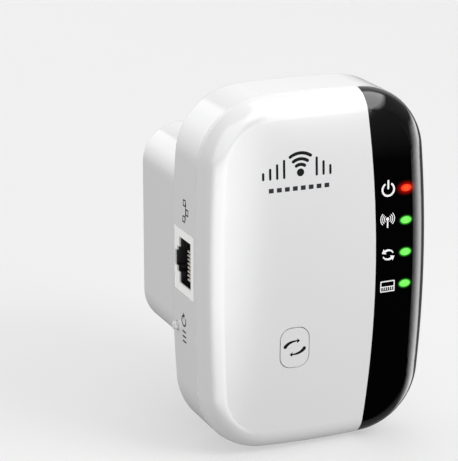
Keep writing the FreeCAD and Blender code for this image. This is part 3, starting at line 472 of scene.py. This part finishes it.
def print_on(name, outlines, node, facing, ink, body):
    """Joins flat outlines, in millimetres, into one thin closed layer lying on a CAD node's surface."""
    corners, faces = [], []
    for outline in outlines:
        faces.append(list(range(len(corners), len(corners) + len(outline))))
        corners += outline
    flat, _, triangles, _, _, owners = delaunay_2d_cdt(corners, [], faces, KEEP_INSIDE, INK_WELD)
    triangles = [t for t, owner in zip(triangles, owners) if owner]
    right, up, out = facing
    surface = surface_of(node)
    mesh = bmesh.new()
    tops, unders = [], []
    for u, v in flat:
        start = (right * u + up * v) * MM + out
        hit = surface.ray_cast(start, -out)[0]
        if hit is None:
            raise RuntimeError(f"{name} reaches past {node} at {u:.2f}, {v:.2f}")
        tops.append(mesh.verts.new(hit + out * INK_LIFT * MM))
        unders.append(mesh.verts.new(hit - out * INK_SINK * MM))
    for a, b, c in triangles:
        top = mesh.faces.new((tops[a], tops[b], tops[c]))
        top.smooth = True
        mesh.faces.new((unders[c], unders[b], unders[a]))
    for edge in [e for e in mesh.edges if e.is_boundary and e.verts[0] in set(tops)]:
        a, b = edge.verts
        loop = edge.link_loops[0]
        if loop.vert != a:
            a, b = b, a
        mesh.faces.new((b, a, unders[tops.index(a)], unders[tops.index(b)]))
        edge.smooth = False
    bmesh.ops.delete(mesh, geom=[v for v in mesh.verts if not v.link_faces], context="VERTS")
    data = bpy.data.meshes.new(name)
    mesh.to_mesh(data)
    mesh.free()
    data.materials.append(ink.owner)
    piece = bpy.data.objects.new(name, data)
    bpy.context.scene.collection.objects.link(piece)
    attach(piece, body)


DARK_INK = moulded("ink_dark", (0.007, 0.007, 0.007), 0.45, 0.1, 0.2, INK_GRAIN)
GREY_INK = moulded("ink_grey", (0.028, 0.028, 0.03), 0.45, 0.1, 0.15, INK_GRAIN)
WHITE_INK = moulded("ink_white", (0.86, 0.86, 0.86), 0.4, 0.08, 0.05, INK_GRAIN)
for matt in (DARK_INK, GREY_INK):
    matt.set(Specular_IOR_Level=0.05)

# ---- marks on the front -------------------------------------------------------------------------
def front_mark():
    """A dot under three arcs, between two sets of rising bars, over a row of small blocks."""
    marks = [disc(FAN_AT, FAN_DOT)]
    for radius in FAN_RADII:
        marks.append(stroke(arc(FAN_AT, radius, 90 + FAN_HALF_ANGLE, 90 - FAN_HALF_ANGLE), FAN_LINE))
    marks += [line((x, BAR_FOOT), (x, BAR_FOOT + height), BAR_LINE) for x, height in BARS]
    print_on("front_mark", marks, "front_cover", FRONT, DARK_INK, "housing")
    first, last = BLOCK_RUN
    step = (last - first) / BLOCKS
    half_w, half_h = BLOCK_SIZE[0] / 2, BLOCK_SIZE[1] / 2
    starts = [first + step * (k + 0.5) - half_w for k in range(BLOCKS)]
    blocks = [rectangle(x, BLOCK_Z - half_h, x + 2 * half_w, BLOCK_Z + half_h) for x in starts]
    print_on("front_blocks", blocks, "front_cover", FRONT, GREY_INK, "housing")


def curved_arrow(centre, radius, start, end, widths, head, squash=1.0):
    """A tapered arc that ends in an arrowhead. Angles are in degrees; head is its length and half width."""
    path = arc(centre, radius, start, end, 18, squash)
    along = path[-1] - path[-2]
    towards = math.degrees(math.atan2(along.y, along.x))
    tip = path[-1] + along.normalized() * head[0]
    return [stroke(path, *widths), arrowhead(tip, towards, *head)]


# ---- white signs beside the lights --------------------------------------------------------------
def power_sign(z):
    radius, half_gap, ink = 1.6, 38, 0.5
    ring = stroke(arc((0, 0), radius, 90 + half_gap, 450 - half_gap, 32), ink)
    return moved([ring, line((0, 0.3), (0, 2.15), ink)], (ICON_X, z))


def antenna_sign(z):
    hub, half_angle, ink = (0, 0.35), 44, 0.22
    marks = [disc(hub, 0.42), line((0, 0.2), (0, -1.75), 0.36)]
    for side in (0.0, 180.0):
        for radius in (0.9, 1.4, 1.9):
            marks.append(stroke(arc(hub, radius, side - half_angle, side + half_angle, 12), ink))
    return moved(marks, (ICON_X - 0.1, z))


def cycle_sign(z):
    marks, sweep = [], 103
    for start in (25, 205):
        marks += curved_arrow((0, 0), 1.45, start, start + sweep, (0.3, 0.62), (1.0, 0.8), squash=0.8)
    return moved(marks, (ICON_X + 0.2, z))


def computer_sign(z):
    w, h, rule, ink, pitch, half_key = 1.85, 1.3, 0.1, 0.24, 0.6, 0.06
    marks = frame_of(0, 0, w, h, 0.28) + [line((-w, -rule), (w, -rule), ink)]
    for y in (-0.42, -0.8):
        marks += [line((pitch * k, y - half_key), (pitch * k, y + half_key), ink, 1) for k in range(-2, 3)]
    return moved(marks, (ICON_X + 0.2, z))


def panel_signs():
    """Each sign beside its light, raised a little from the light's centre."""
    signs = {"power": (power_sign, 0.1), "wireless": (antenna_sign, 0.48),
             "sync": (cycle_sign, -0.2), "computer": (computer_sign, -0.18)}
    for name, (sign, lift) in signs.items():
        z = led_centre(name)[1] / MM
        print_on("sign_" + name, sign(z + lift), "led_panel", FRONT, WHITE_INK, "housing")


# ---- the setup button and the side wall ---------------------------------------------------------
def setup_sign():
    """Two plain arrows chasing each other round a flattened ring."""
    low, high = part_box("setup_button")
    centre = ((low.x + high.x) / 2 / MM, (low.z + high.z) / 2 / MM)
    marks, sweep = [], -80
    for start in (152, -28):
        marks += curved_arrow((0, 0), 2.75, start, start + sweep, (0.95, 0.34), (0.75, 0.62), squash=0.62)
    marks = moved(marks, centre, SETUP_TILT)
    print_on("setup_sign", marks, "setup_button", FRONT, DARK_INK, "setup_key")


def network_sign():
    """Three linked squares, as on many network ports."""
    half, out, top, foot, ink = 0.68, 2.0, 0.95, -0.95, 0.34
    marks = frame_of(0, top, half, half, ink)
    for x in (-out, out):
        marks += frame_of(x, foot, half, half, ink) + [line((x, 0), (x, foot + half), ink)]
    return marks + [line((0, top - half), (0, 0), ink), line((-out, 0), (out, 0), ink)]


def restart_sign():
    """A circular arrow with three short bars beside it."""
    ink = 0.42
    bars = [line((x, -1.0), (x, 1.0), ink) for x in (2.8, 4.1, 5.4)]
    return curved_arrow((0, 0), 1.3, 120, -170, (ink, ink), (1.0, 0.85)) + bars


def side_signs():
    """Signs on the left wall, above the socket and beside the reset button, turned to be read downwards."""
    low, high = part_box("lan_jack_frame")
    spot = (-(low.y + high.y) / 2 / MM + NETWORK_SIGN_AT[0], high.z / MM + NETWORK_SIGN_AT[1])
    print_on("network_sign", moved(network_sign(), spot, READ_DOWN),
             "rear_shell", LEFT, GREY_INK, "housing")
    low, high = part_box("reset_button")
    spot = (-(low.y + high.y) / 2 / MM + RESTART_SIGN_AT[0], (low.z + high.z) / 2 / MM + RESTART_SIGN_AT[1])
    print_on("restart_sign", moved(restart_sign(), spot, READ_DOWN),
             "rear_shell", LEFT, GREY_INK, "housing")


def label_rules():
    """A ruled border and plain bars on the blank rating label."""
    low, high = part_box("rating_label")
    half_w, half_h = (high.x - low.x) / 2 / MM - LABEL_MARGIN, (high.z - low.z) / 2 / MM - LABEL_MARGIN
    marks = frame_of(0, 0, half_w, half_h, 0.22)
    left = -half_w + LABEL_MARGIN
    for k, share in enumerate(LABEL_BARS):
        y = half_h - LABEL_FIRST - LABEL_PITCH * k
        marks.append(line((left, y), (left + share * LABEL_BAR, y), 0.5))
    middle = ((low.x + high.x) / -2 / MM, (low.z + high.z) / 2 / MM)
    print_on("label_rules", moved(marks, middle), "rating_label", BACK, GREY_INK, "housing")


front_mark()
panel_signs()
setup_sign()
side_signs()
label_rules()


# ---- studio -------------------------------------------------------------------------------------
def band(w, value, edges):
    """1 where value lies between the two inner edges, falling to 0 at the two outer ones."""
    start, full, last, end = edges
    return w.math("MULTIPLY", w.ramp(value, start, full), w.ramp(value, end, last))


def studio():
    """A soft sky lights the object, over a pale backdrop. Its gloss mirrors soft boxes in a dim room."""
    world = bpy.data.worlds.new("studio")
    bpy.context.scene.world = world
    w = Nodes(world, "Background", "Generated")
    x, y, z = w.axes()
    ahead = w.math("MULTIPLY", y, -1.0)
    turn = w.math("DEGREES", w.math("ARCTAN2", x, ahead))
    rise = w.math("DEGREES", w.math("ARCSINE", z))
    under, over = w.math("SUBTRACT", SWING_RISES[0], rise), w.math("SUBTRACT", rise, SWING_RISES[1])
    outside = w.math("MAXIMUM", under, over)
    measures = {
        "turn": turn,
        "rise": rise,
        "swing": w.math("SUBTRACT", turn, w.math("MULTIPLY", w.math("MAXIMUM", outside, 0.0), SWING)),
        "pitch": w.math("DEGREES", w.math("ARCTAN2", z, ahead)),
        "lean": w.math("SUBTRACT", x, w.math("MULTIPLY", z, LEAN)),
    }

    def patch(edges):
        """1 inside a box of light, fading to 0 at its edges."""
        share = 1.0
        for name, four in edges.items():
            share = w.math("MULTIPLY", band(w, measures[name], four), share)
        return share

    sky = w.ramp(z, *SKY_SPAN, SKY_BELOW, SKY_ABOVE)
    mirrored = w.ramp(z, *ROOM_SPAN, ROOM_BELOW, ROOM_ABOVE)
    for share, edges in DARK_CARDS:
        left_open = w.math("SUBTRACT", 1.0, w.math("MULTIPLY", patch(edges), share))
        mirrored = w.math("MULTIPLY", mirrored, left_open)
    for power, edges in SOFT_BOXES:
        mirrored = w.math("MAXIMUM", mirrored, w.math("MULTIPLY", patch(edges), power))
    rays = w.add("ShaderNodeLightPath").outputs
    strength = w.ramp(rays["Is Glossy Ray"], 0.0, 1.0, sky, mirrored)
    w.set(Color=(1.0, 1.0, 1.0), Strength=w.ramp(rays["Is Camera Ray"], 0.0, 1.0, strength, BACKDROP))


def area_light(name, place, width, power):
    data = bpy.data.lights.new(name, "AREA")
    data.shape = "RECTANGLE"
    data.size = data.size_y = width
    data.energy = power
    lamp = bpy.data.objects.new(name, data)
    lamp.location = place
    lamp.rotation_mode = "QUATERNION"
    lamp.rotation_quaternion = (Vector(LIT_POINT) - Vector(place)).to_track_quat("-Z", "Y")
    lamp.visible_glossy = False
    bpy.context.scene.collection.objects.link(lamp)


def floor():
    """A large pale grey floor just under the object, which neither lights it nor is mirrored in it."""
    level = CAD_LOW.z - FLOOR_GAP
    corners = rectangle(-FLOOR_REACH, -FLOOR_REACH, FLOOR_REACH, FLOOR_REACH)
    data = bpy.data.meshes.new("floor")
    data.from_pydata([(x, y, level) for x, y in corners], [], [(0, 1, 2, 3)])
    m = material("floor_paper")
    m.set(Base_Color=m.mix(m.noise(3.0), *FLOOR_GREYS), Roughness=0.9)
    m.set(Emission_Color=(1.0, 1.0, 1.0), Emission_Strength=FLOOR_GLOW)
    m.bump(m.noise(400.0), 0.00001)
    data.materials.append(m.owner)
    paper = bpy.data.objects.new("floor", data)
    paper.visible_diffuse = False
    paper.visible_glossy = False
    bpy.context.scene.collection.objects.link(paper)


def camera():
    data = bpy.data.cameras.new("camera")
    data.lens = CAMERA_LENS
    data.sensor_width = SENSOR
    eye = bpy.data.objects.new("camera", data)
    azimuth, elevation = math.radians(CAMERA_AZIMUTH), math.radians(CAMERA_ELEVATION)
    flat = math.cos(elevation)
    back = Vector((math.sin(azimuth) * flat, -math.cos(azimuth) * flat, math.sin(elevation)))
    eye.location = CAMERA_AT
    eye.rotation_mode = "QUATERNION"
    eye.rotation_quaternion = (-back).to_track_quat("-Z", "Y")
    bpy.context.scene.collection.objects.link(eye)
    bpy.context.scene.camera = eye


studio()
floor()
for lamp_name, lamp in LIGHTS.items():
    area_light(lamp_name, *lamp)
camera()
bpy.context.scene.view_settings.view_transform = "Standard"
